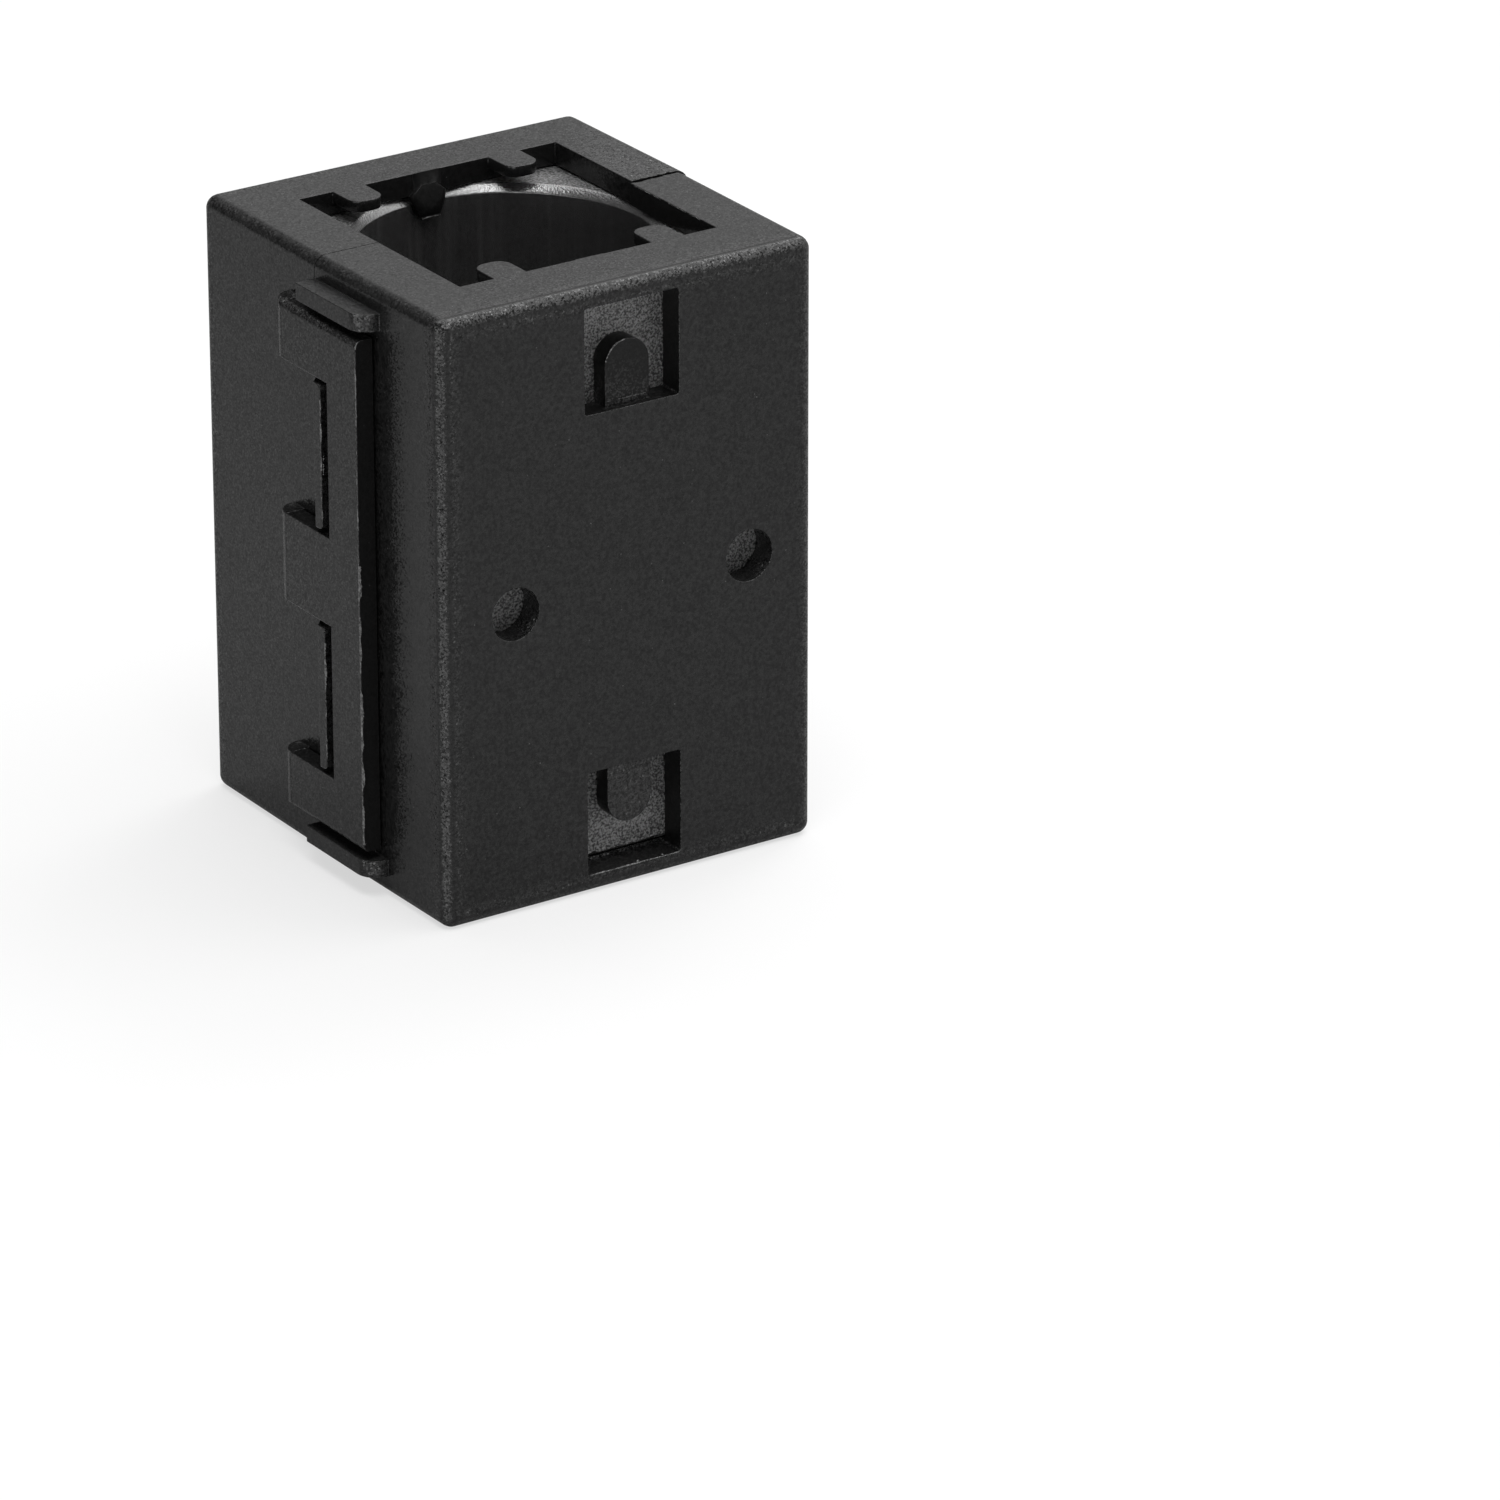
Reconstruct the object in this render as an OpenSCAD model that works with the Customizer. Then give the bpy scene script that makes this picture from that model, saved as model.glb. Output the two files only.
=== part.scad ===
// Clip-on ferrite bead: a snap-shut plastic case with two ferrite half cores.
// +Z runs along the cable, the bore axis is X = Y = 0, and the bead stands on Z = 0.
// The halves part at Y = 0. The latch is on -X, the hinge on +X. All sizes are in millimetres.

/* [Ferrite core] */
// Diameter of the bore through the core
bore_d = 16.6; // [12:0.1:24]
// Wall of the core where it is thinnest, beside the bore
core_wall = 2.3; // [1.5:0.1:4]
// Chamfer around each mouth of the bore
bore_chamfer = 0.42; // [0.1:0.02:0.8]
// Rounding of the core's long outer edges
core_r = 1.0; // [0.2:0.1:1.5]
// Clearance between the core and the pocket that holds it
core_gap = 0.1; // [0.05:0.05:0.3]

/* [Case] */
// Length of the case along the cable
case_l = 35; // [29:0.5:60]
// Wall of the case on the latch side
latch_wall = 1.5; // [1.0:0.1:2.5]
// Wall of the case on the hinge side
hinge_wall = 1.1; // [0.8:0.1:2.5]
// Broad wall of the half that carries the catches
catch_broad_wall = 1.6; // [1.3:0.1:2.6]
// Broad wall of the half that carries the latch
latch_broad_wall = 1.2; // [1.1:0.1:2.6]
// Thickness of the end walls
end_wall = 1.3; // [1.0:0.05:2.0]
// Draft of the latch and hinge side walls, in degrees
draft = 0.45; // [0:0.05:1]
// Rounding of the outer edges
edge_r = 0.75; // [0.3:0.05:1.0]
// Gap between the closed rims on the latch side
latch_gap = 0.06; // [0.04:0.02:0.3]
// Gap between the closed rims on the hinge side
hinge_gap = 0.22; // [0.04:0.02:0.3]
// How much higher the rims meet on the hinge side
rim_step = 0.35; // [0:0.05:0.6]
// How far the latch half stands out past the other half on the hinge side
overhang = 0.2; // [0:0.05:0.4]

/* [Cable openings] */
// How far the square opening in an end wall stands inside the edge of the bore
opening_lip = 0.15; // [0.15:0.05:1]
// Width of a cable-centring tab
tab_w = 2.05; // [1:0.05:3]
// Length of a cable-centring tab
tab_l = 2.25; // [1:0.05:3.2]
// Thickness of a cable-centring tab
tab_t = 0.65; // [0.4:0.05:1.2]
// Centre to centre of the two tabs along one edge
tab_pitch = 10; // [7:0.1:11]
// Rounding of a tab's tip
tab_r = 0.8; // [0.2:0.05:1]

/* [Core claws] */
// Width of a claw where it reaches the core
claw_w = 2.4; // [1.8:0.1:3.5]
// Width of a claw's tip
claw_tip_w = 1.2; // [0.6:0.1:1.5]
// Width of the rib that carries a claw
claw_rib_w = 1.8; // [0.8:0.1:1.8]
// How far that rib stands out from the edge of the opening
claw_rib = 0.2; // [0.1:0.05:0.3]
// How far a claw reaches past the core's end face
claw_reach = 1.2; // [0.5:0.05:1.6]
// How far a claw stands out from the edge of the opening
claw_proud = 0.45; // [0.4:0.05:0.9]

/* [Broad face] */
// Width of a spring window
window_w = 6.0; // [4:0.1:8]
// Length of a spring window along the case
window_l = 6.05; // [5:0.05:8]
// End of the case to the spring window
window_end = 1.1; // [1.0:0.05:3]
// Rounding of a window's corners
window_r = 0.15; // [0.05:0.05:0.6]
// Width of the spring tongue in a window
tongue_w = 2.8; // [1.5:0.1:3.5]
// Length of the spring tongue
tongue_l = 3.65; // [2:0.05:4.4]
// How far the tongue lies below the broad face
tongue_recess = 0.5; // [0.2:0.05:0.7]
// Diameter of the two round holes in the half with the catches
hole_d = 3.0; // [1:0.1:4]
// Centre to centre of the two round holes
hole_pitch = 15; // [8:0.1:17]

/* [Latch] */
// How far the latch plate and the guards stand out from the side wall
latch_proud = 1.2; // [0.8:0.05:2]
// Gap between the latch plate and the wall behind it
plate_gap = 0.1; // [0.05:0.05:0.3]
// End of the case to the end of the latch plate
plate_inset = 2.7; // [2.0:0.1:6]
// Parting plane to the line where the arms leave the latch half
arm_root = 1.5; // [0.5:0.1:4]
// Parting plane to the free edge of the plate
plate_drop = 6.0; // [4.5:0.05:8]
// Width of the strip that joins the arms
strip_w = 3.0; // [2:0.05:3.4]
// Width of the middle arm
middle_arm_w = 5.1; // [3:0.1:7]
// Width of each end arm
end_arm_w = 3.3; // [2:0.1:5]
// Rounding of the plate's outer edge at its two ends
plate_end_r = 0.45; // [0.1:0.05:0.8]

/* [Catches and guards] */
// How far a catch stands out from the side wall
catch_proud = 1.25; // [0.9:0.05:2.2]
// Parting plane to the foot of a catch's ramp
catch_foot = 0.45; // [0.3:0.05:0.8]
// Parting plane to the hooking face of a catch
catch_hook = 2.4; // [2:0.05:2.5]
// Width of the flat land on a catch
catch_land = 0.7; // [0.3:0.05:1]
// Gap between a catch and the arm beside it
catch_side_gap = 0.3; // [0.1:0.05:0.6]
// Width of a guard rib
guard_w = 1.0; // [0.8:0.1:1.4]
// Gap between a guard rib and the end of the plate
guard_gap = 0.5; // [0.1:0.05:0.6]
// How far a guard rib reaches below the parting plane
guard_drop = 6.5; // [5:0.1:8]

/* [Hinge] */
// Length of one hinge strap
strap_l = 8; // [4:0.5:10]
// Centre to centre of the two hinge straps
strap_pitch = 17; // [11:0.5:22]
// How far the hinge ledges stand out from the side wall
ledge_w = 1.1; // [0.8:0.1:1.6]
// Thickness of the bent film
film_t = 0.35; // [0.2:0.05:0.4]
// Inner radius of the closed film's bend
film_r = 0.25; // [0.2:0.05:0.4]

/* [Hidden] */
$fn = 64;

case_colour = "#2c2c2e";
ferrite_colour = "#6e6f70";

over = 1;              // how far cutters run past what they cut
weld = 0.2;            // how far a feature is let into the wall that carries it
arc_steps = 8;         // facets in a quarter round
ball_steps = 24;       // facets round the balls that shape the outer edges

core_half = bore_d/2 + core_wall;                 // bore axis to the core's outer faces
pocket_half = core_half + core_gap;               // bore axis to the pocket's walls
latch_side = pocket_half + latch_wall;            // bore axis to the latch side wall
hinge_side = pocket_half + hinge_wall;            // bore axis to the hinge side wall
catch_depth = pocket_half + catch_broad_wall;     // parting plane to that half's broad face
latch_depth = pocket_half + latch_broad_wall;
opening_half = bore_d/2 - opening_lip;
core_setback = end_wall + core_gap;               // end of the case to the end of the core

plate_l = case_l - 2*plate_inset;
notch_l = (plate_l - middle_arm_w - 2*end_arm_w)/2;
catch_l = notch_l - 2*catch_side_gap;
catch_centre = middle_arm_w/2 + notch_l/2;        // middle of the case to the middle of a catch
plate_face = latch_side + latch_proud;            // bore axis to the outer face of the plate
plate_back = latch_side + plate_gap;
catch_corner_r = 0.35;
ramp_top = catch_hook - catch_land;               // where the ramp meets the land

tongue_pad = 1.0;      // length of the tongue's tip that presses on the core
claw_slope = 1.2;      // length of a claw's upper slope along the case
claw_nose_r = 0.3;     // rounding of a claw's tip

ledge_t = 0.7;         // centre of the bend to the outside of a hinge ledge
gusset = 1.1;          // height of the gusset under a hinge ledge
film_x = hinge_side + ledge_w;                    // centre of the closed film's bend

// ---- outlines ----

// Points along an arc round c, from angle a0 to a1
function arc(c, r, a0, a1) =
    [for (i = [0:arc_steps]) let (a = a0 + (a1 - a0)*i/arc_steps) c + r*[cos(a), sin(a)]];

// A rectangle with rounded corners, centred on the origin
module rounded_rect(w, h, r) {
    polygon(concat(
        arc([w/2 - r, h/2 - r], r, 0, 90),
        arc([r - w/2, h/2 - r], r, 90, 180),
        arc([r - w/2, r - h/2], r, 180, 270),
        arc([w/2 - r, r - h/2], r, 270, 360)));
}

// ---- directions: an outline drawn flat is stretched along X or along Y ----

// Outline in (Z, Y), stretched from x0 to x1
module along_x(x0, x1) {
    translate([x1, 0, 0]) rotate([0, -90, 0]) linear_extrude(x1 - x0) children();
}

// Outline in (X, Z), stretched from y0 to y1
module along_y(y0, y1) {
    translate([0, y1, 0]) rotate([90, 0, 0]) linear_extrude(y1 - y0) children();
}

// The same feature at both ends of the case
module both_ends() {
    children();
    translate([0, 0, case_l]) mirror([0, 0, 1]) children();
}

// ---- one half of the case, drawn with its broad face on +Y ----

// A ball whose facets just reach the radius of the outer edges
module edge_ball() {
    sphere(edge_r/cos(180/ball_steps), $fn = ball_steps);
}

// The block from which a half is hollowed. Its rim is raised by step on the hinge side.
module outer_block(d, step, right) {
    far = latch_side + right;
    intersection() {
        hull() for (y = [-2*edge_r, d - edge_r], z = [edge_r, case_l - edge_r]) {
            translate([right - edge_r - y*tan(draft), y, z]) edge_ball();
            translate([edge_r - latch_side + y*tan(draft), y, z]) edge_ball();
        }
        translate([0, 0, -over]) linear_extrude(case_l + 2*over) polygon([
            [-far, latch_gap/2], [0, latch_gap/2], [0, hinge_gap/2 + step],
            [far, hinge_gap/2 + step], [far, d + over], [-far, d + over]]);
    }
}

module pocket() {
    translate([-pocket_half, -over, end_wall])
        cube([2*pocket_half, pocket_half + over, case_l - 2*end_wall]);
}

// The square passage through both end walls, as far from the hinge side wall in either half
module cable_opening(right) {
    translate([-opening_half, -opening_half, -over])
        cube([2*opening_half + right - hinge_side, 2*opening_half, case_l + 2*over]);
}

module window(d) {
    translate([0, 0, window_end + window_l/2]) along_y(pocket_half - weld, d + over)
        rounded_rect(window_w, window_l, window_r);
}

// A flat finger at each side of the opening, level with the end face
module tab() {
    reach = opening_half - tab_l;
    linear_extrude(tab_t) polygon(concat(
        [[tab_w/2, opening_half + weld]],
        [[-tab_w/2, opening_half + weld]],
        arc([tab_r - tab_w/2, reach + tab_r], tab_r, 180, 270),
        arc([tab_w/2 - tab_r, reach + tab_r], tab_r, 270, 360)));
}

// Outline of a shallow half-round rib on the edge of the opening
module half_round(w, proud) {
    polygon(concat(
        [[w/2, opening_half + weld], [-w/2, opening_half + weld]],
        [for (i = [0:2*arc_steps]) let (a = 180 + 90*i/arc_steps)
            [w/2*cos(a), opening_half + proud*sin(a)]]));
}

// A claw that widens from its rib, reaches past the core's end face and narrows to its tip
module claw() {
    tip = core_setback + claw_reach;
    nose = opening_half - claw_proud;
    slope_start = end_wall - claw_slope/2;
    linear_extrude(end_wall) half_round(claw_rib_w, claw_rib);
    intersection() {
        linear_extrude(tip) half_round(claw_w, claw_proud);
        along_x(-claw_w, claw_w) polygon(concat(
            [[slope_start, opening_half + weld], [slope_start, opening_half - claw_rib]],
            [[slope_start + claw_slope, nose]],
            arc([tip - claw_nose_r, nose + claw_nose_r], claw_nose_r, -90, 0),
            [[tip, opening_half], [end_wall, opening_half], [end_wall, opening_half + weld]]));
        along_y(nose - over, opening_half + over) polygon([
            [-claw_rib_w/4, slope_start], [claw_rib_w/4, slope_start],
            [claw_w/2, end_wall], [claw_w/2, core_setback],
            [claw_tip_w/2, tip], [-claw_tip_w/2, tip],
            [-claw_w/2, core_setback], [-claw_w/2, end_wall]]);
    }
}

// A sprung tongue with a round tip, rooted at the window's inner edge
module tongue(d) {
    root = window_end + window_l;
    tip = root - tongue_l;
    face = d - tongue_recess;
    intersection() {
        along_x(-tongue_w/2, tongue_w/2) polygon([
            [root + weld, pocket_half], [root + weld, face], [tip, face],
            [tip, core_half], [tip + tongue_pad, core_half], [tip + 2*tongue_pad, pocket_half]]);
        along_y(core_half - over, d + over) polygon(concat(
            [[tongue_w/2, root + weld]], [[-tongue_w/2, root + weld]],
            arc([0, tip + tongue_w/2], tongue_w/2, 180, 270),
            arc([0, tip + tongue_w/2], tongue_w/2, 270, 360)));
    }
}

// What the two halves share
module half_shell(d, step, right) {
    difference() {
        outer_block(d, step, right);
        pocket();
        cable_opening(right);
        both_ends() window(d);
    }
    both_ends() {
        for (side = [-1, 1]) translate([side*tab_pitch/2, 0, 0]) tab();
        claw();
        tongue(d);
    }
}

// Ledges with gussets, which the hinge film joins; the bend is centred on Y = 0
module hinge_ledges(right) {
    for (side = [-1, 1])
        translate([0, 0, case_l/2 + side*strap_pitch/2 - strap_l/2])
            linear_extrude(strap_l) polygon([
                [right - weld, hinge_gap/2], [film_x, hinge_gap/2], [film_x, ledge_t],
                [right - weld, ledge_t + gusset]]);
}

// ---- latch ----

// Outline of the plate in (Z, Y): a strip with three arms
module plate_outline() {
    difference() {
        translate([plate_inset, -plate_drop]) square([plate_l, plate_drop + arm_root]);
        for (side = [-1, 1])
            translate([case_l/2 + side*catch_centre - notch_l/2, strip_w - plate_drop])
                square([notch_l, plate_drop + arm_root]);
    }
}

// The space in which the plate lies, with the outer edge rounded at both ends
module plate_ends() {
    far = plate_inset + plate_l;
    along_y(-plate_drop - over, arm_root + latch_proud + over) polygon(concat(
        [[0, plate_inset]], [[0, far]],
        arc([plate_end_r - plate_face, far - plate_end_r], plate_end_r, 90, 180),
        arc([plate_end_r - plate_face, plate_inset + plate_end_r], plate_end_r, 180, 270)));
}

// The quarter-round roots that carry the three arms
module arm_roots() {
    intersection() {
        linear_extrude(case_l) polygon(concat(
            [[weld - latch_side, arm_root]],
            [[weld - latch_side, arm_root + latch_proud]],
            arc([-latch_side, arm_root], latch_proud, 90, 180)));
        translate([0, 2*latch_proud, 0]) along_x(-plate_face - over, over) plate_outline();
        plate_ends();
    }
}

// A ramp that lifts the plate, a flat land and a square hooking face, with rounded corners
module catch_bar() {
    intersection() {
        translate([0, 0, -catch_l/2]) linear_extrude(catch_l) polygon([
            [weld - latch_side, -catch_foot], [-latch_side, -catch_foot],
            [-latch_side - catch_proud, -ramp_top], [-latch_side - catch_proud, -catch_hook],
            [weld - latch_side, -catch_hook]]);
        translate([0, -catch_hook/2, 0]) along_x(-plate_face - over, over)
            rounded_rect(catch_l, catch_hook, catch_corner_r);
    }
}

// A rib past each end of the plate, rounded down to the wall at its far end
module guard() {
    linear_extrude(guard_w) polygon(concat(
        [[weld - latch_side, -latch_gap/2], [-plate_face, -latch_gap/2]],
        arc([-latch_side, latch_proud - guard_drop], latch_proud, 180, 270),
        [[weld - latch_side, -guard_drop]]));
}

// ---- nodes ----

module catch_shell() {
    color(case_colour) {
        difference() {
            mirror([0, 1, 0]) half_shell(catch_depth, -rim_step, hinge_side);
            for (side = [-1, 1])
                translate([side*hole_pitch/2, over - pocket_half, case_l/2]) rotate([90, 0, 0])
                    cylinder(d = hole_d, h = catch_broad_wall + 2*over);
        }
        translate([0, rim_step, 0]) mirror([0, 1, 0]) hinge_ledges(hinge_side);
        for (side = [-1, 1]) translate([0, 0, case_l/2 + side*catch_centre]) catch_bar();
        both_ends() translate([0, 0, plate_inset - guard_gap - guard_w]) guard();
    }
}

module latch_shell() {
    color(case_colour) {
        half_shell(latch_depth, rim_step, hinge_side + overhang);
        translate([0, rim_step, 0]) hinge_ledges(hinge_side + overhang);
        arm_roots();
    }
}

module latch_plate() {
    color(case_colour) intersection() {
        along_x(-plate_face, -plate_back) plate_outline();
        plate_ends();
    }
}

// Two bent straps of thin film, shown closed
module hinge_film() {
    color(case_colour)
        for (side = [-1, 1])
            translate([film_x, rim_step, case_l/2 + side*strap_pitch/2 - strap_l/2])
                linear_extrude(strap_l) polygon(concat(
                    arc([0, 0], film_r + film_t, -90, 0), arc([0, 0], film_r + film_t, 0, 90),
                    arc([0, 0], film_r, 90, 0), arc([0, 0], film_r, 0, -90)));
}

// Half of a square core with a round bore, drawn on the +Y side
module ferrite_half() {
    difference() {
        translate([0, 0, core_setback]) linear_extrude(case_l - 2*core_setback)
            rounded_rect(2*core_half, 2*core_half, core_r);
        translate([-core_half - over, -core_half - over, 0])
            cube([2*(core_half + over), core_half + over, case_l]);
        translate([0, 0, -over]) cylinder(d = bore_d, h = case_l + 2*over);
        both_ends() translate([0, 0, core_setback - over])
            cylinder(r1 = bore_d/2 + bore_chamfer + over, r2 = bore_d/2 - over,
                     h = bore_chamfer + 2*over);
    }
}

module ferrite_half_front() {
    color(ferrite_colour) mirror([0, 1, 0]) ferrite_half();
}

module ferrite_half_rear() {
    color(ferrite_colour) ferrite_half();
}

catch_shell();
latch_shell();
latch_plate();
hinge_film();
ferrite_half_front();
ferrite_half_rear();
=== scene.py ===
"""Snap-on cable bead: a hinged black housing round two ferrite half shells, on a pale floor."""

import math

import bmesh
import bpy
from mathutils import Matrix, Vector, noise


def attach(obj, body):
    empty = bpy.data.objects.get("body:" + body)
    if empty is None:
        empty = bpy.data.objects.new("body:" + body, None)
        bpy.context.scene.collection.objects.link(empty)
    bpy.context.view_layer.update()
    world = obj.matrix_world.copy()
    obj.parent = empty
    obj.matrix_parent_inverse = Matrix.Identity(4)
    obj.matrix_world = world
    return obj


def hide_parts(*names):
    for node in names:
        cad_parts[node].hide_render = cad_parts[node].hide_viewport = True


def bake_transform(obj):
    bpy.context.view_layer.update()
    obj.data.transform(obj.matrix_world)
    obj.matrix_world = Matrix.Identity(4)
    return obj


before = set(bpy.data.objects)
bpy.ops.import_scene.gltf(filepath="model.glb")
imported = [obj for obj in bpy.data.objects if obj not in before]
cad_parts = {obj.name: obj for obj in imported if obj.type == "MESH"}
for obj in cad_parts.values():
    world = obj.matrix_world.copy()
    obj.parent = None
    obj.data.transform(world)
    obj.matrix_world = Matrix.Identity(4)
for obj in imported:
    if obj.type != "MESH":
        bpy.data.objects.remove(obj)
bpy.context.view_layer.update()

MM = 0.001
LENGTH = 35.0  # of the bead, in millimetres
OPENING = 8.15  # from its middle to the sides of the openings in its ends
MIDDLE = Vector((0, 0, LENGTH / 2)) * MM

# ---------------------------------------------------------------- camera

CAMERA_AZIMUTH = -33.911  # degrees, 0 looks along +Y
CAMERA_ELEVATION = 23.36
CAMERA_PLACE = (-0.25282, -0.39961, 0.20758)
CAMERA_LENS = 223.34  # this and the sensor's width are in millimetres
CAMERA_SENSOR = 36
CAMERA_CLIP = (0.01, 10)


def add_camera():
    a, e = math.radians(CAMERA_AZIMUTH), math.radians(CAMERA_ELEVATION)
    right = Vector((math.cos(a), math.sin(a), 0))
    back = Vector((math.sin(a) * math.cos(e), -math.cos(a) * math.cos(e), math.sin(e)))
    up = back.cross(right)
    data = bpy.data.cameras.new("camera")
    data.sensor_width, data.lens = CAMERA_SENSOR, CAMERA_LENS
    data.clip_start, data.clip_end = CAMERA_CLIP
    camera = bpy.data.objects.new("camera", data)
    bpy.context.scene.collection.objects.link(camera)
    turn = Matrix((right, up, back)).transposed().to_4x4()
    camera.matrix_world = Matrix.Translation(CAMERA_PLACE) @ turn
    bpy.context.scene.camera = camera


# ---------------------------------------------------------------- node helpers


class Nodes:
    """A short way to write the node tree of a material or world."""

    def __init__(self, owner):
        owner.use_nodes = True
        self.owner, self.tree = owner, owner.node_tree
        self.tree.nodes.clear()

    def add(self, kind, inputs=None, **settings):
        node = self.tree.nodes.new(kind)
        for key, value in settings.items():
            setattr(node, key, value)
        for key, value in (inputs or {}).items():
            self.put(node.inputs[key], value)
        return node

    def put(self, socket, value):
        if isinstance(value, bpy.types.NodeSocket):
            self.tree.links.new(value, socket)
        else:
            socket.default_value = value

    def math(self, operation, a, b):
        return self.add("ShaderNodeMath", {0: a, 1: b}, operation=operation).outputs[0]

    def vector(self, operation, a, b=None):
        inputs = {0: a} if b is None else {0: a, 1: b}
        return self.add("ShaderNodeVectorMath", inputs, operation=operation).outputs[0]

    def scaled(self, vector, scale):
        inputs = {0: vector, "Scale": scale}
        return self.add("ShaderNodeVectorMath", inputs, operation="SCALE").outputs[0]

    def xyz(self, vector):
        return self.add("ShaderNodeSeparateXYZ", {"Vector": vector}).outputs

    def red(self, colour):
        return self.add("ShaderNodeSeparateColor", {"Color": colour}).outputs["Red"]

    def remap(self, value, start, end, low=0.0, high=1.0):
        """Goes from low to high while the value goes from start to end."""
        inputs = {"Value": value, "From Min": start, "From Max": end}
        inputs.update({"To Min": low, "To Max": high})
        return self.add("ShaderNodeMapRange", inputs).outputs[0]

    def ramp(self, value, *stops):
        """A colour ramp between two (place, grey) stops."""
        node = self.add("ShaderNodeValToRGB", {"Fac": value})
        for end, (place, tone) in zip(node.color_ramp.elements, stops):
            end.position, end.color = place, grey(tone)
        return node.outputs["Color"]

    def mix(self, fac, a, b, kind="RGBA"):
        """Goes from a to b with the factor, as colours or as values."""
        first, out = (2, 0) if kind == "FLOAT" else (6, 2)
        inputs = {0: fac, first: a, first + 1: b}
        return self.add("ShaderNodeMix", inputs, data_type=kind).outputs[out]

    def noise(self, vector, scale, detail, roughness):
        inputs = {"Vector": vector, "Scale": scale, "Detail": detail, "Roughness": roughness}
        return self.add("ShaderNodeTexNoise", inputs).outputs["Fac"]

    def cells(self, vector, scale):
        return self.add("ShaderNodeTexVoronoi", {"Vector": vector, "Scale": scale}).outputs

    def bump(self, height, distance, normal=None):
        inputs = {"Height": height, "Distance": distance, "Strength": 1.0}
        if normal is not None:
            inputs["Normal"] = normal
        return self.add("ShaderNodeBump", inputs).outputs["Normal"]

    def finish(self, surface, kind="ShaderNodeOutputMaterial"):
        self.add(kind, {"Surface": surface})


def grey(value):
    return (value, value, value, 1)


# ---------------------------------------------------------------- surroundings

FLOOR_HALF = 3.0
FLOOR_COLOUR = 0.28
FLOOR_LIFT = 0.62  # what camera and transmission rays see on top of the lit floor
FLOOR_PAINTED_SHEEN = (0.14, 0.04)  # painted sheen: a glow that only glossy rays see on top of it, in front of and behind the bead
FLOOR_PAINTED_SHEEN_Y = (-0.06, 0.06)  # where the painted sheen starts and stops changing
FLOOR_PAINTED_POOL = 1.35  # a painted pool of light that glossy rays also see in the wedge at its front left
FLOOR_WEDGE_TIP = (-0.012, -0.012, 0)
FLOOR_WEDGE_WAY = (-0.92, -0.39, 0)
FLOOR_WEDGE_EDGE = (0.82, 0.98)  # cosines of the angle to that way where it starts and is full
FLOOR_PAINTED_BOUNCE = 0.3  # painted bounce light: a glow that diffuse rays see on top of it

WORLD_LIGHT = 0.38
WORLD_SLOPE = (0.3, 1.7)  # share of it that comes from -X and from +X
BACKDROP = 0.69  # what glossy rays see of the backdrop
BACKDROP_LEFT = (-0.45, 0.45)  # X of the directions where it starts and is full
BACKDROP_TOP = (0.5, 0.8)  # Z of the directions where it starts to fade and is gone
BACKDROP_LIFT = (0.44, 0.6, 1.3)  # Z where it starts and stops brightening, and how much it does
DIM_ROOM = 0.12  # what glossy rays see of the room beside and above the backdrop

SOFTBOXES = (  # name, direction from the bead, distance, width, height and radiance
    ("top_softbox", (0.3, 0.0, 0.95), 0.6, 0.95, 0.95, 1.95),
    ("key_softbox", (0.52, 0.22, 0.82), 0.6, 0.15, 0.15, 6.0),
    ("ring_softbox", (-0.22, -0.33, 0.92), 0.6, 0.3, 0.3, 4.0),
    ("edge_softbox", (-0.82, -0.56, 0.11), 0.7, 0.75, 0.16, 3.5),
    ("front_softbox", (0.85, -0.5, 0.15), 0.8, 0.6, 0.5, 1.2),
)


def rays(n):
    """What Light Path says, and whether the ray shows the surroundings in the picture."""
    path = n.add("ShaderNodeLightPath").outputs
    return path, n.math("MAXIMUM", path["Is Camera Ray"], path["Is Transmission Ray"])


def add_floor():
    half = FLOOR_HALF
    corners = [(-half, -half, 0), (half, -half, 0), (half, half, 0), (-half, half, 0)]
    mesh = bpy.data.meshes.new("floor")
    mesh.from_pydata(corners, [], [(0, 1, 2, 3)])
    floor = bpy.data.objects.new("floor", mesh)
    bpy.context.scene.collection.objects.link(floor)
    n = Nodes(bpy.data.materials.new("floor"))
    path, seen = rays(n)
    where = n.add("ShaderNodeNewGeometry").outputs["Position"]
    # painted reflections: a sheen and a pool of light on the floor that only glossy rays see
    painted_sheen = n.remap(n.xyz(where)["Y"], *FLOOR_PAINTED_SHEEN_Y, *FLOOR_PAINTED_SHEEN)
    away = n.vector("NORMALIZE", n.vector("SUBTRACT", where, FLOOR_WEDGE_TIP))
    inputs = {0: away, 1: FLOOR_WEDGE_WAY}
    wedge = n.add("ShaderNodeVectorMath", inputs, operation="DOT_PRODUCT").outputs["Value"]
    painted_pool = n.remap(wedge, *FLOOR_WEDGE_EDGE, 0.0, FLOOR_PAINTED_POOL)
    shine = n.math("MULTIPLY", path["Is Glossy Ray"], n.math("ADD", painted_sheen, painted_pool))
    # painted bounce light: the floor glows for diffuse rays and so lights the bead
    painted_bounce = n.math("MULTIPLY", path["Is Diffuse Ray"], FLOOR_PAINTED_BOUNCE)
    lift = n.math("MULTIPLY", seen, FLOOR_LIFT)
    lift = n.math("MAXIMUM", lift, n.math("ADD", shine, painted_bounce))
    paper = n.add("ShaderNodeBsdfDiffuse", {"Color": grey(FLOOR_COLOUR)})
    glow = n.add("ShaderNodeEmission", {"Color": grey(1.0), "Strength": lift})
    both = n.add("ShaderNodeAddShader", {0: paper.outputs[0], 1: glow.outputs[0]})
    n.finish(both.outputs[0])
    mesh.materials.append(n.owner)


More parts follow.
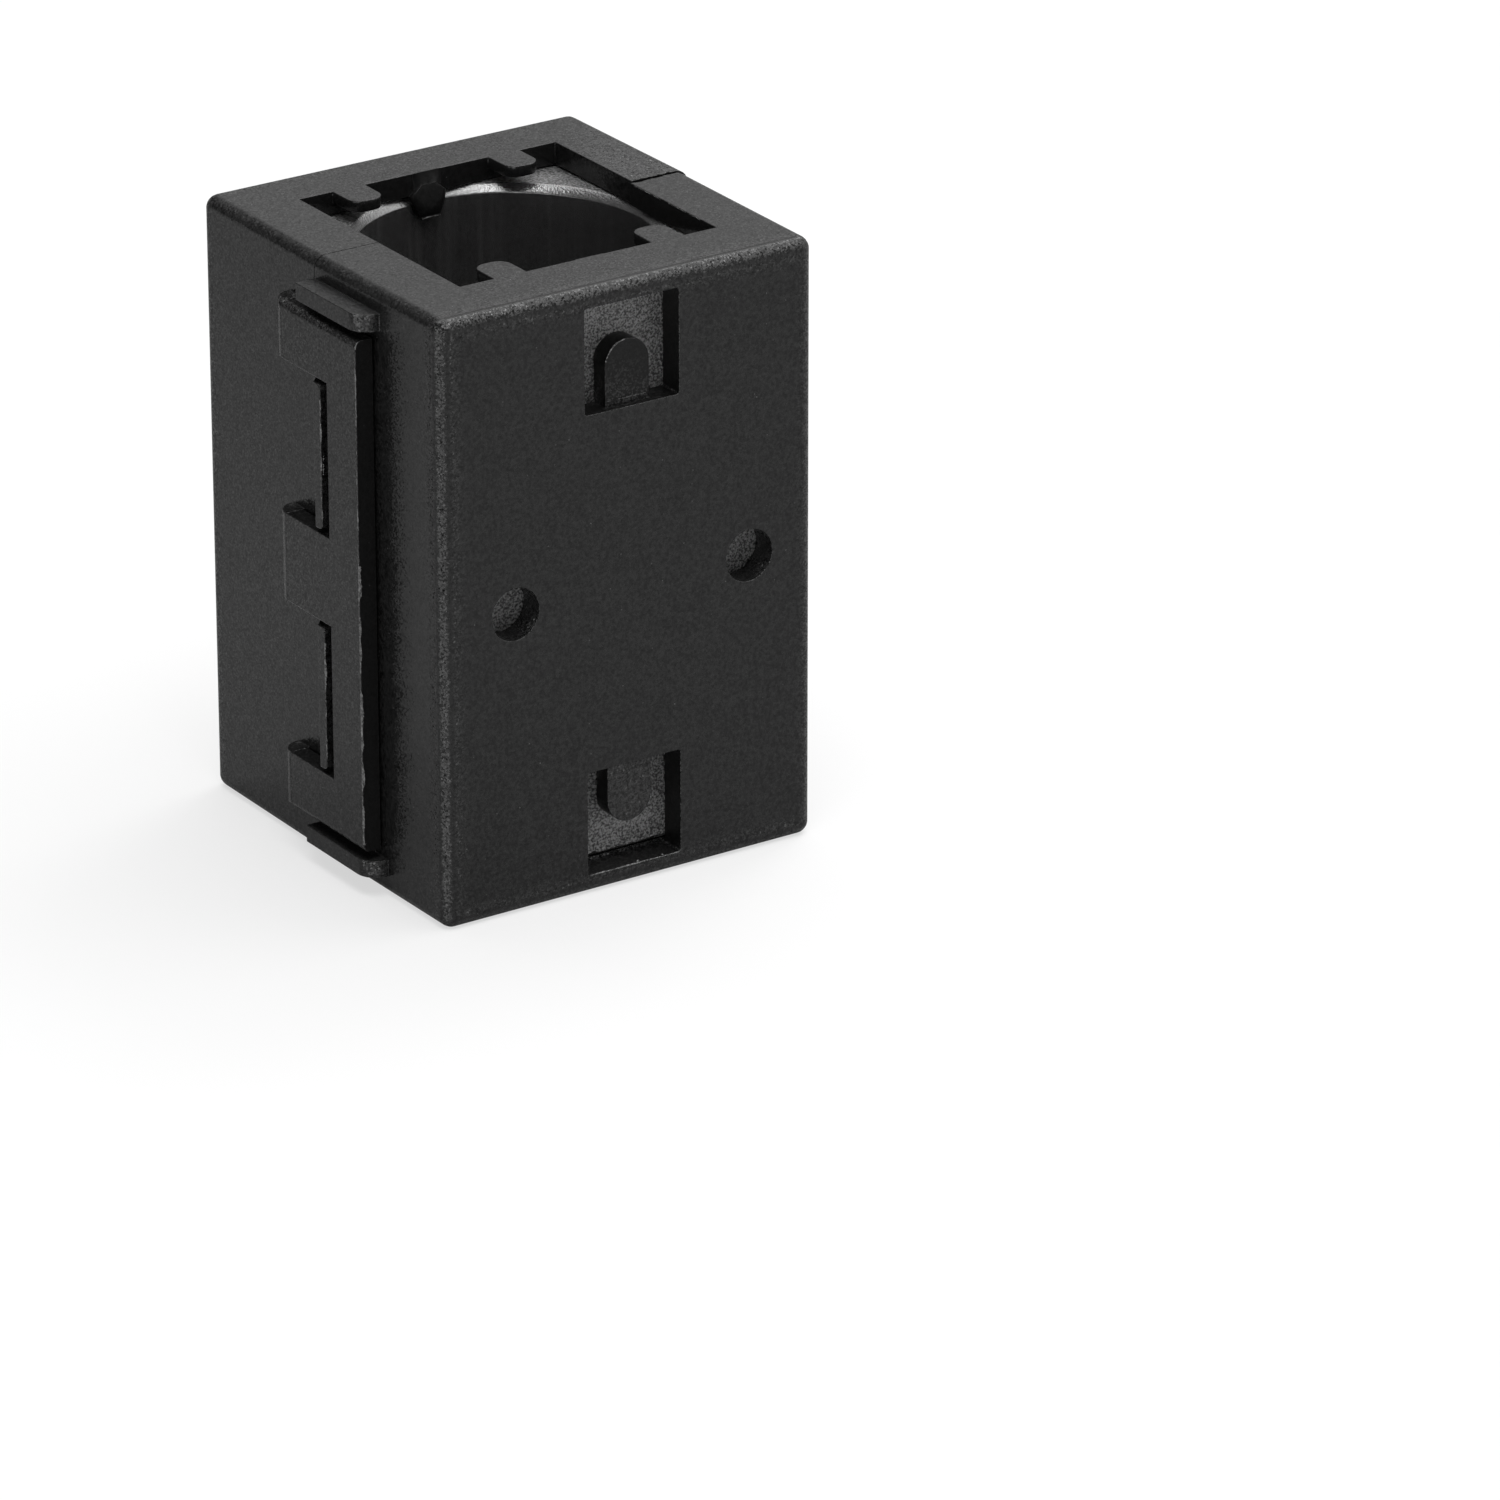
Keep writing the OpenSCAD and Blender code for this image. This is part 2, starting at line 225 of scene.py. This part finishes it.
def add_world():
    """White for the camera, and for glossy rays a pale backdrop on the right in a dim room."""
    n = Nodes(bpy.data.worlds.new("studio"))
    toward = n.xyz(n.add("ShaderNodeTexCoord").outputs["Generated"])
    path, seen = rays(n)
    low = n.remap(toward["Z"], *BACKDROP_TOP, 1.0, 0.0)
    start, end, lift = BACKDROP_LIFT
    low = n.math("MULTIPLY", low, n.remap(toward["Z"], start, end, 1.0, lift))
    right = n.remap(toward["X"], *BACKDROP_LEFT)
    backdrop = n.math("MULTIPLY", n.math("MULTIPLY", low, right), path["Is Glossy Ray"])
    light = n.remap(toward["X"], -1.0, 1.0, *(WORLD_LIGHT * share for share in WORLD_SLOPE))
    dim = n.mix(path["Is Glossy Ray"], light, DIM_ROOM, "FLOAT")
    room = n.math("ADD", n.math("MULTIPLY", backdrop, BACKDROP - DIM_ROOM), dim)
    sky = n.add("ShaderNodeBackground", {"Strength": n.math("MAXIMUM", seen, room)})
    n.finish(sky.outputs[0], "ShaderNodeOutputWorld")
    bpy.context.scene.world = n.owner


def add_softbox(name, direction, distance, wide, tall, radiance):
    """A lamp that faces the bead from that direction. Its power follows from its radiance."""
    data = bpy.data.lights.new(name, "AREA")
    data.shape, data.size, data.size_y = "RECTANGLE", wide, tall
    data.energy = radiance * math.pi * wide * tall
    lamp = bpy.data.objects.new(name, data)
    back = Vector(direction).normalized()
    lamp.location = MIDDLE + back * distance
    lamp.rotation_mode = "QUATERNION"
    lamp.rotation_quaternion = (-back).to_track_quat("-Z", "Y")
    bpy.context.scene.collection.objects.link(lamp)


# ---------------------------------------------------------------- materials

# Along each axis, in millimetres from the middle, where the wear at a corner starts and is full,
# and the share of it at which the fillet itself starts
CORNERS = {"X": (10.4, 12.0, 0.58), "Y": (10.6, 12.6, 0.42), "Z": (15.8, 17.2, 0.6)}
FILLET_RISE = 0.15
FILLET_SHIELD = 0.8  # the share of the wear that a fillet is spared
CORNER_WEAR = 0.9

# A noise is (scale, detail, roughness), scales are per metre, tones are base colours, and a pair
# is where an effect starts and is full
FLATS = 11000.0
MOTTLE = (4500.0, 3.0, 0.7)
MOTTLE_STOPS = (0.36, 0.64)
# bright specks: dust, and painted glints of the skin's tiny flats
SPECKS = 1500.0
SPECK_CHOICE = (0.4, 1.0)  # the cells that have one
SPECK_RADIUS = (0.04, 0.07)  # where it stops being full and is gone
DUST_AND_GLINT_TONE = 0.1
SCUFF_AND_SPARKLE_CHOICE = (0.55, 0.85)  # the flats that are scuffed, with a painted sparkle, where the skin is rubbed
SCUFF_AND_SPARKLE_TONE = 0.035
DIMPLES = (3200.0, 2.0, 0.5)
DIMPLE_DEPTH = 0.00001

GRAIN = (8000.0, 2.0, 0.6)
CLOUD = (700.0, 3.0, 0.5)
CLOUD_SHARE = 0.15
FLECK_STOPS = (0.41, 0.59)
STREAKS = (1500.0, 3.0, 0.6)
STREAK_STRETCH = (1.0, 1.0, 0.02)
STREAK_STOPS = (0.5, 0.7)
STREAK_TONE = 0.12


def rising(n, value, stops):
    return n.ramp(value, (stops[0], 0.0), (stops[1], 1.0))


def near_corners(n, where):
    """1 at the bead's corners along its length and across its ends, fading to 0 on its sides."""
    place = n.xyz(n.vector("ABSOLUTE", n.vector("SUBTRACT", where, tuple(MIDDLE))))
    near, fillet = [], []
    for axis, (start, end, share) in CORNERS.items():
        near.append(n.remap(place[axis], start * MM, end * MM))
        fillet.append(rising(n, near[-1], (share, share + FILLET_RISE)))
    worn, fillet = (
        n.math("MAXIMUM", n.math("MINIMUM", across, deep), n.math("MINIMUM", deep, along))
        for across, deep, along in (near, fillet)
    )
    shield = n.math("SUBTRACT", 1.0, n.math("MULTIPLY", fillet, FILLET_SHIELD))
    return n.math("MULTIPLY", worn, shield)


def plastic(name, tilt, rubbed_tilt, roughness, low=0.002, high=0.016, shine=0.41):
    """Black nylon with a spark-eroded skin of tiny tilted flats, rubbed paler on edges and with
    bright specks, which are wear and dust but also painted sparkle and glints.
    """
    n = Nodes(bpy.data.materials.new(name))
    where = n.add("ShaderNodeTexCoord").outputs["Object"]
    rubbed = n.add("ShaderNodeAttribute", attribute_name="rubbed").outputs["Fac"]
    rubbed = n.math("MAXIMUM", rubbed, n.math("MULTIPLY", near_corners(n, where), CORNER_WEAR))
    flats = n.cells(where, FLATS)["Color"]
    tone = n.mix(rising(n, n.noise(where, *MOTTLE), MOTTLE_STOPS), grey(low), grey(high))
    # bright specks: dust and painted glints
    specks = n.cells(where, SPECKS)
    bright = rising(n, n.red(specks["Color"]), SPECK_CHOICE)
    inner, outer = SPECK_RADIUS
    bright = n.math("MULTIPLY", bright, n.ramp(specks["Distance"], (inner, 1.0), (outer, 0.0)))
    tone = n.mix(bright, tone, grey(DUST_AND_GLINT_TONE))
    # paler scuffs on rubbed edges: wear, and a painted sparkle of the flats there
    scuffed_and_sparkling = n.math("MULTIPLY", rising(n, n.red(flats), SCUFF_AND_SPARKLE_CHOICE), rubbed)
    tone = n.mix(scuffed_and_sparkling, tone, grey(SCUFF_AND_SPARKLE_TONE))
    reach = n.math("ADD", n.math("MULTIPLY", rubbed, rubbed_tilt - tilt), tilt)
    lean = n.scaled(n.vector("SUBTRACT", flats, (0.5, 0.5, 0.5)), reach)
    plain = n.add("ShaderNodeNewGeometry").outputs["Normal"]
    leaning = n.vector("NORMALIZE", n.vector("ADD", plain, lean))
    skin = {
        "Base Color": tone,
        "Roughness": roughness,
        "Specular IOR Level": shine,
        "Normal": n.bump(n.noise(where, *DIMPLES), DIMPLE_DEPTH, leaning),
    }
    n.finish(n.add("ShaderNodeBsdfPrincipled", skin).outputs[0])
    return n.owner


def sintered_ferrite(name, low, high, roughness, depth, streak=0.0, index=2.6):
    """Grey ceramic with a fine grain, and with grinding streaks along the bead if asked for."""
    n = Nodes(bpy.data.materials.new(name))
    where = n.add("ShaderNodeTexCoord").outputs["Object"]
    grain = n.noise(where, *GRAIN)
    cloud = n.math("MULTIPLY", n.noise(where, *CLOUD), CLOUD_SHARE)
    fleck = n.math("ADD", n.math("MULTIPLY", grain, 1 - CLOUD_SHARE), cloud)
    tone = n.mix(rising(n, fleck, FLECK_STOPS), grey(low), grey(high))
    lines = n.noise(n.vector("MULTIPLY", where, STREAK_STRETCH), *STREAKS)
    lines = n.math("MULTIPLY", rising(n, lines, STREAK_STOPS), streak)
    skin = {
        "Base Color": n.mix(lines, tone, grey(STREAK_TONE)),
        "Roughness": roughness,
        "IOR": index,
        "Normal": n.bump(grain, depth),
    }
    n.finish(n.add("ShaderNodeBsdfPrincipled", skin).outputs[0])
    return n.owner


# ---------------------------------------------------------------- pieces that stand for the nodes

# In this part "across" is the distance from the middle along X, "deep" the one along Y and "end"
# the one along Z, in millimetres, because the two halves are alike.

SHARP = math.radians(28)  # edges sharper than this are rounded
FLAT = math.radians(0.5)  # faces that meet flatter than this are one
SAME_PLACE = 0.002  # corners nearer than this are one
JOINT_DEEP, JOINT_ACROSS = 0.5, 8  # the joint lies less deep and further across
WINDOW_DEEP, WINDOW_ACROSS = 10, 5  # the windows lie deeper and less far across


def on_parting(edge):
    """Whether the edge lies on the joint between the halves, where the mould leaves it sharp."""
    return all(
        abs(v.co.y) < JOINT_DEEP * MM and abs(v.co.x) > JOINT_ACROSS * MM for v in edge.verts
    )


def in_corner_of_window(edge):
    """Whether the edge is a hollow corner of one of the windows in the sides."""
    inside = all(
        abs(v.co.y) > WINDOW_DEEP * MM and abs(v.co.x) < WINDOW_ACROSS * MM for v in edge.verts
    )
    return inside and edge.calc_face_angle_signed() < 0


def bevel_mesh(bm, width):
    """Rounds the sharp edges, as a mould or a tumbler leaves them."""
    sharp = [e for e in bm.edges if e.is_manifold and e.calc_face_angle() > SHARP]
    for edge in sharp:
        edge.smooth = not (on_parting(edge) or in_corner_of_window(edge))
    bmesh.ops.bevel(
        bm,
        geom=[e for e in sharp if e.smooth],
        offset=width * MM,
        offset_type="OFFSET",
        segments=2,
        profile=0.5,
        affect="EDGES",
        clamp_overlap=False,
    )


def wander(seed, place):
    """A smooth value between -1 and 1 that changes along a line."""
    return noise.noise(Vector((seed * 7.31 + 0.37, place, seed * 1.93)))


CHIP_DEPTH, CHIP_JUMP, CHIP_ROUGH = 0.4, 0.3, 0.8  # shares of the reach
CHIP_LEVELS = 2.5  # how many jumps lead up or down
CHIP_COARSE, CHIP_FINE = 1.9, 7.0  # how fast the jumps and the roughness change on the way


def chip_edges(bm, chosen, step, reach, direction, seed):
    """Breaks straight edges into short steps that jump to and fro by about the reach."""
    fresh = []
    for edge in [e for e in bm.edges if all(chosen(v.co / MM) for v in e.verts)]:
        near, far = edge.verts
        count = int(edge.calc_length() / MM / step)
        for left in range(count, 0, -1):
            _, near = bmesh.utils.edge_split(edge, near, 1 / (left + 1))
            edge = next(e for e in near.link_edges if e.other_vert(near) is far)
            fresh.append(near)
    for vert in fresh:
        place = sum(vert.co / MM)
        coarse, fine = wander(seed, place * CHIP_COARSE), wander(seed + 2, place * CHIP_FINE)
        jump = CHIP_JUMP * round(CHIP_LEVELS * coarse) + CHIP_ROUGH * fine
        vert.co += Vector(direction) * reach * MM * max(0.0, CHIP_DEPTH + jump)


RIB_ACROSS, RIB_DEEP = 1, 7.9  # the claws' ribs lie less far across and deeper
RIB_END = 0.1  # the stretch of a rib at the end face that is faded
RIB_LEFT = 0.1  # the share of its height that is left there


def fade_ribs(bm):
    """Lets the claws' ribs run out at the ends of the case, as the mould does."""
    for vert in bm.verts:
        across, deep = abs(vert.co.x) / MM, abs(vert.co.y) / MM
        end = abs(vert.co.z - LENGTH / 2 * MM) / MM
        if across < RIB_ACROSS and RIB_DEEP < deep < OPENING and end > LENGTH / 2 - RIB_END:
            vert.co.y *= (OPENING - (OPENING - deep) * RIB_LEFT) / deep


def tidy_mesh(node):
    """The node's mesh with its split corners joined and its flat faces whole."""
    bm = bmesh.new()
    bm.from_mesh(node.data)
    bmesh.ops.remove_doubles(bm, verts=bm.verts, dist=SAME_PLACE * MM)
    bmesh.ops.dissolve_limit(bm, angle_limit=FLAT, verts=bm.verts, edges=bm.edges)
    return bm


INSIDE_ACROSS, INSIDE_DEEP = 8.4, 8.2  # the openings lie within these, and aren't worn
TONGUE_SIDE = 1.6  # the tongues' sides lie less far across, and aren't worn either
HALF_ROUND = 1 - math.sqrt(0.5)  # lean of a normal halfway round a fillet
END_FILLET = 11.4  # the fillets between the ends and the sides lie further across
END_FILLET_WEAR = 0.35
LONG_FILLET = 11.0  # and those along the bead lie further across and deeper
LONG_FILLET_WEAR = 0.6


def mark_rubbed(mesh):
    """Writes how far each point lies on a rounded convex edge, from 0 to 1."""
    rubbed = mesh.attributes.new("rubbed", "FLOAT", "POINT")
    for vertex in mesh.vertices:
        x, y, z = (abs(c) for c in vertex.normal)
        across, deep = abs(vertex.co.x) / MM, abs(vertex.co.y) / MM
        if deep < JOINT_DEEP and across > JOINT_ACROSS:  # there only the fillets count
            size = math.hypot(x, z)
            x, y, z = (x / size, 0.0, z / size) if size else (1.0, 0.0, 0.0)
        in_opening = across < INSIDE_ACROSS and deep < INSIDE_DEEP
        on_tongue = across < TONGUE_SIDE and y < 0.2 and deep > WINDOW_DEEP
        lean = 0.0 if in_opening or on_tongue else (1 - max(x, y, z)) / HALF_ROUND
        if y < 0.1 and across > END_FILLET:
            lean *= END_FILLET_WEAR
        elif z < 0.1 and across > LONG_FILLET and deep > LONG_FILLET:
            lean *= LONG_FILLET_WEAR
        rubbed.data[vertex.index].value = min(1.0, max(0.0, lean))


def stand_for(name, bm, materials, body):
    """Turns the mesh into a piece that stands for the CAD node of that name."""
    bmesh.ops.dissolve_degenerate(bm, dist=SAME_PLACE * MM, edges=bm.edges)
    mesh = bpy.data.meshes.new(name + "_piece")
    for face in bm.faces:
        face.smooth = True
    bm.to_mesh(mesh)
    bm.free()
    mark_rubbed(mesh)
    for material in materials:
        mesh.materials.append(material)
    piece = bpy.data.objects.new(name + "_piece", mesh)
    bpy.context.scene.collection.objects.link(piece)
    even = piece.modifiers.new("even_normals", "WEIGHTED_NORMAL")
    even.weight = 50
    even.keep_sharp = True
    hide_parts(name)
    if body:
        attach(piece, body)
    return piece


# ---------------------------------------------------------------- flash and raw edges

FIN_STEP = 0.07  # between the rings of a fin, in millimetres
FIN_WIDTH = 0.06
FIN_ROOT = 0.03  # how deep it is sunk


def add_flash(bm, path, out, height, seed):
    """A fin of squeezed-out plastic along a path. Lengths are in millimetres.

    It comes and goes along the path, its crest is ragged, and it leans to and fro.
    """
    out = Vector(out).normalized()
    path = [Vector(point) for point in path]
    rings, walked = [], 0.0
    for a, b in zip(path, path[1:]):
        length = (b - a).length
        steps = max(1, round(length / FIN_STEP))
        side = (b - a).cross(out).normalized() * FIN_WIDTH / 2
        for i in range(steps + 1):
            place = walked + length * i / steps
            patchy = max(0.0, wander(seed, place * 0.9) * 1.4 + 0.45)
            ragged = 0.55 + 0.9 * abs(wander(seed + 3, place * 5.3))
            rise = height * patchy * ragged
            middle = a.lerp(b, i / steps)
            root = middle - out * FIN_ROOT
            tip = middle + out * rise + side * wander(seed + 5, place * 4.1)
            rings.append([bm.verts.new(corner * MM) for corner in (root + side, root - side, tip)])
        walked += length
    for one, two in zip(rings, rings[1:]):
        for k in range(3):
            bm.faces.new((one[k], one[(k + 1) % 3], two[(k + 1) % 3], two[k]))
    bm.faces.new(rings[0][::-1])
    bm.faces.new(rings[-1])


def add_crumbs(bm, start, end, out, count, size):
    """Small sharp crumbs that sit half sunk along a line. Lengths are in millimetres."""
    start, end, out = Vector(start), Vector(end), Vector(out).normalized()
    for i in range(count):
        place = start.lerp(end, 0.5 + 0.5 * wander(i + 11, i * 3.7))
        radius = size * (0.6 + 0.4 * wander(i + 31, i * 1.3))
        turn = Matrix.Rotation(4.0 * wander(i + 51, i * 2.9), 4, Vector((0.3, 0.8, 0.5)))
        shift = Matrix.Translation((place + out * radius * 0.4) * MM)
        bmesh.ops.create_icosphere(bm, subdivisions=1, radius=radius * MM, matrix=shift @ turn)


def add_flash_piece(name, body, fins, material, crumbs=()):
    bm = bmesh.new()
    for seed, fin in enumerate(fins, 1):
        add_flash(bm, *fin, seed=seed + len(name))
    for line in crumbs:
        add_crumbs(bm, *line)
    bmesh.ops.recalc_face_normals(bm, faces=bm.faces)
    mesh = bpy.data.meshes.new(name)
    bm.to_mesh(mesh)
    bm.free()
    mesh.materials.append(material)
    piece = bpy.data.objects.new(name, mesh)
    bpy.context.scene.collection.objects.link(piece)
    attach(piece, body)


# ---------------------------------------------------------------- the moulding

skin = plastic("moulded_plastic", tilt=0.16, rubbed_tilt=1.0, roughness=0.24)
# pale torn plastic of the flash and crumbs, also used as a painted highlight on some bevels of the
# plate
torn_and_highlight = plastic("torn_and_highlight_plastic", tilt=0.8, rubbed_tilt=0.8, roughness=0.25, low=0.03, high=0.2)
moulded = [
    skin,
    plastic("eroded_plastic", tilt=0.5, rubbed_tilt=0.85, roughness=0.24, low=0.0, high=0.035),
    torn_and_highlight,
    plastic("matt_plastic", tilt=0.3, rubbed_tilt=0.4, roughness=0.5),
    plastic("polished_plastic", tilt=0.03, rubbed_tilt=0.3, roughness=0.14, low=0.006, high=0.011),
    # painted shade: a darker, duller skin for faces that lie in shade in recesses, cracks and
    # windows
    plastic("painted_shade_plastic", 0.05, 0.3, roughness=0.4, low=0.001, high=0.004, shine=0.28),
]
SKIN, ERODED, TORN_AND_HIGHLIGHT, MATT, POLISHED, PAINTED_SHADE = range(len(moulded))

# Shares of a face's normal along an axis: over LEANS the face leans that way, over FACES it looks
# that way, and over LEVEL it isn't even a bevel
FACES, LEVEL, LEANS = 0.9, 0.95, 0.3
UPWARD = 0.5
# Where the faces with a finish, a painted shade or a painted highlight of their own lie, in
# millimetres
GUARD_X, PLATE_Z = -12.4, (2.6, 32.4)  # the guards, beyond the plate's stretch of Z
PLATE_RIM_X, PLATE_RIM_Y = -13.2, -5.8  # the bevels round the plate's outer face
PLATE_FOOT_Z = 6  # the bevels round the plate's outer face; those at its free corner get a painted highlight on its upper half
PLATE_SIDE_X, PLATE_SIDE_Y = -12.2, (-6.1, -5.9)  # the plate's free side
TONGUE_ACROSS, TONGUE_DEEP = 2, (11.7, 11.9)
TONGUE_LOW_Z = 9  # the lower tongues lie below
CRACK_X, CRACK_DEEP = 8.1, 0.6  # the joint in the end face, on the hinge's side
CLAW_ACROSS, CLAW_DEEP, CLAW_END = 1.3, (7.5, 8.14), 14.5
HOLLOW_ACROSS, HOLLOW_DEEP = 5, 10.6  # the walls of the windows
WALL_REACH, WALL_END = 8.3, 15.8  # the walls of the openings


CASE_BEVEL = 0.045
CRACK_CHIPS = (0.13, 0.16)  # step and reach


def on_hinge_crack(place):
    """Whether the place lies on the edge of the joint in the end face, on the hinge's side."""
    return place.z > LENGTH - 0.01 and abs(place.y) < JOINT_DEEP and place.x > CRACK_X


def between(limits, value):
    return limits[0] < value < limits[1]


def finish_of(face):
    """The place of the face's material in the list that a moulded piece gets."""
    place, normal = face.calc_center_median() / MM, face.normal
    across, deep, end = abs(place.x), abs(place.y), abs(place.z - LENGTH / 2)
    square = abs(normal.y) > FACES
    if place.x < GUARD_X and not between(PLATE_Z, place.z):
        return MATT if normal.z > UPWARD else ERODED if normal.y < -LEANS else SKIN
    on_rim = place.x < PLATE_RIM_X
    # painted highlight on the bevels of the plate's free corner, on its upper half
    if on_rim and place.y < PLATE_RIM_Y and min(abs(normal.x), abs(normal.y)) > LEANS:
        return TORN_AND_HIGHLIGHT if place.z > LENGTH / 2 else SKIN
    if on_rim and place.z > PLATE_FOOT_Z and max(normal.x, normal.z) < -LEANS:  # painted highlight on the bevels under the arms
        return TORN_AND_HIGHLIGHT
    # painted shade on the upper tongues' faces; the lower ones get a coarser skin
    if across < TONGUE_ACROSS and between(TONGUE_DEEP, deep) and square:
        return ERODED if place.z < TONGUE_LOW_Z else PAINTED_SHADE
    # painted shade on the plate's free side
    if place.x < PLATE_SIDE_X and between(PLATE_SIDE_Y, place.y) and normal.y < -FACES:
        return PAINTED_SHADE
    # painted shade on the joint's faces at the crack on the hinge's side
    if place.x > CRACK_X and deep < CRACK_DEEP and square:
        return PAINTED_SHADE
    # painted shade on the claws
    at_claw = across < CLAW_ACROSS and between(CLAW_DEEP, deep) and end > CLAW_END
    if at_claw and abs(normal.z) < LEVEL:
        return PAINTED_SHADE
    # painted shade on the windows' walls
    in_window = across < HOLLOW_ACROSS and deep > HOLLOW_DEEP and abs(normal.y) < LEANS
    in_opening = max(across, deep) < WALL_REACH and end > WALL_END and abs(normal.z) < LEANS
    return PAINTED_SHADE if in_window else POLISHED if in_opening else SKIN


def add_moulded(name, body):
    bm = tidy_mesh(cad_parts[name])
    bevel_mesh(bm, CASE_BEVEL)
    if body != "latch":
        fade_ribs(bm)
        away = -1 if body == "catch_half" else 1
        chip_edges(bm, on_hinge_crack, *CRACK_CHIPS, (0, away, 0), away + 4)
    bm.normal_update()
    for face in bm.faces:
        face.material_index = finish_of(face)
    stand_for(name, bm, moulded, body)


add_moulded("catch_shell", "catch_half")
add_moulded("latch_shell", "latch_half")
add_moulded("latch_plate", "latch")

WINDOW_FACE, TONGUE_FACE = -12.3, -11.8
TONGUE_TIP = 1.4  # radius of the tongue's round tip
TONGUE_ARC = 4.9  # end of the case to the centre of that
CATCH_X, CATCH_Y = -13.42, -2.38  # the outer corner of the catch bars
PLATE_X, PLATE_Y = -13.38, -5.97  # and of the plate's free side
CLAW_TIP, CLAW_BACK = 7.74, LENGTH - 2.55
RIM_TOP = LENGTH - 0.04

tongue_arc = [
    (TONGUE_TIP * math.cos(a), TONGUE_FACE, LENGTH - TONGUE_ARC + TONGUE_TIP * math.sin(a))
    for a in (math.radians(95 + 8 * i) for i in range(10))
]
add_flash_piece(
    "catch_flash",
    "catch_half",
    [
        ([(OPENING, -0.2, RIM_TOP), (OPENING, -6.6, RIM_TOP)], (-0.7, 0, 0.7), 0.1),
        (tongue_arc, (-0.6, -0.5, 0.6), 0.17),
        ([(-2.9, WINDOW_FACE, 1.12), (2.9, WINDOW_FACE, 1.12)], (0, -0.2, 1), 0.04),
        ([(-1.35, TONGUE_FACE, 28.15), (1.3, TONGUE_FACE, 28.15)], (0, -1, 0.2), 0.08),
        ([(-0.55, -CLAW_TIP, CLAW_BACK), (0.55, -CLAW_TIP, CLAW_BACK)], (0, 0.3, -1), 0.12),
        ([(CATCH_X, CATCH_Y, 7.0), (CATCH_X, CATCH_Y, 13.8)], (0.15, -1, 0), 0.09),
        ([(CATCH_X, CATCH_Y, 21.0), (CATCH_X, CATCH_Y, 27.9)], (0.15, -1, 0), 0.07),
    ],
    torn_and_highlight,
    [
        ((-13.35, -2.42, 22.8), (-13.3, -2.42, 25.2), (0, -1, 0), 16, 0.07),
        ((0.1, WINDOW_FACE + 0.04, 1.16), (0.3, WINDOW_FACE + 0.04, 1.16), (0, 0, 1), 3, 0.1),
        ((1.7, WINDOW_FACE + 0.04, 1.16), (1.9, WINDOW_FACE + 0.04, 1.16), (0, 0, 1), 3, 0.09),
    ],
)
add_flash_piece(
    "latch_flash",
    "latch_half",
    [([(-0.6, CLAW_TIP, CLAW_BACK), (0.6, CLAW_TIP, CLAW_BACK)], (0, -0.3, -1), 0.12)],
    torn_and_highlight,
)
add_flash_piece(
    "plate_flash",
    "latch",
    [
        ([(PLATE_X, PLATE_Y, 3.2), (PLATE_X, PLATE_Y, 19.5)], (0, -1, 0), 0.34),
        ([(PLATE_X, PLATE_Y, 17.5), (PLATE_X, PLATE_Y, 31.6)], (-0.2, -1, 0), 0.09),
    ],
    torn_and_highlight,
)

# ---------------------------------------------------------------- the core

core = [
    sintered_ferrite("pressed_ferrite", 0.01, 0.24, roughness=0.4, depth=0.00006, index=1.7),
    sintered_ferrite("ground_ferrite", 0.02, 0.04, roughness=0.22, depth=0.000008, streak=0.25),
    sintered_ferrite("chamfer_ferrite", 0.02, 0.08, roughness=0.26, depth=0.00003),
]
PRESSED, GROUND, CHAMFER = range(len(core))
CORE_END = 1.4  # end of the case to the end of the core
CORE_EDGE_DEEP = 10.3  # the core's long outer edges lie deeper
CORE_EDGE_REACH = 0.12  # and as near to its ends as this
BORE_REACH = 8.8  # faces nearer to the axis than this are the bore's
CORE_BEVEL = 0.07
CORE_CHIPS = (0.16, 0.16)  # step and reach


def on_core_edge(upper):
    """A test for places on the core's long outer edges, at its upper or lower end."""

    def test(place):
        end = place.z - LENGTH / 2 if upper else LENGTH / 2 - place.z
        return abs(place.y) > CORE_EDGE_DEEP and end > LENGTH / 2 - CORE_END - CORE_EDGE_REACH

    return test


def finish_of_core(face):
    middle, slope = face.calc_center_median(), abs(face.normal.z)
    if slope < LEANS and math.hypot(middle.x, middle.y) < BORE_REACH * MM:
        return GROUND
    return CHAMFER if LEANS < slope < LEVEL else PRESSED


def add_core(name, body):
    bm = tidy_mesh(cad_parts[name])
    bevel_mesh(bm, CORE_BEVEL)
    for upper in (True, False):
        away = -1 if upper else 1
        chip_edges(bm, on_core_edge(upper), *CORE_CHIPS, (0, 0, away), 9 + upper)
    for face in bm.faces:
        face.material_index = finish_of_core(face)
    stand_for(name, bm, core, body)


add_core("ferrite_half_front", "catch_half")
add_core("ferrite_half_rear", "latch_half")

film = stand_for("hinge_film", tidy_mesh(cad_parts["hinge_film"]), [skin], None)
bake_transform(film)

# ---------------------------------------------------------------- picture

add_camera()
add_floor()
add_world()
for softbox in SOFTBOXES:
    add_softbox(*softbox)

scene = bpy.context.scene
scene.view_settings.view_transform = "Standard"
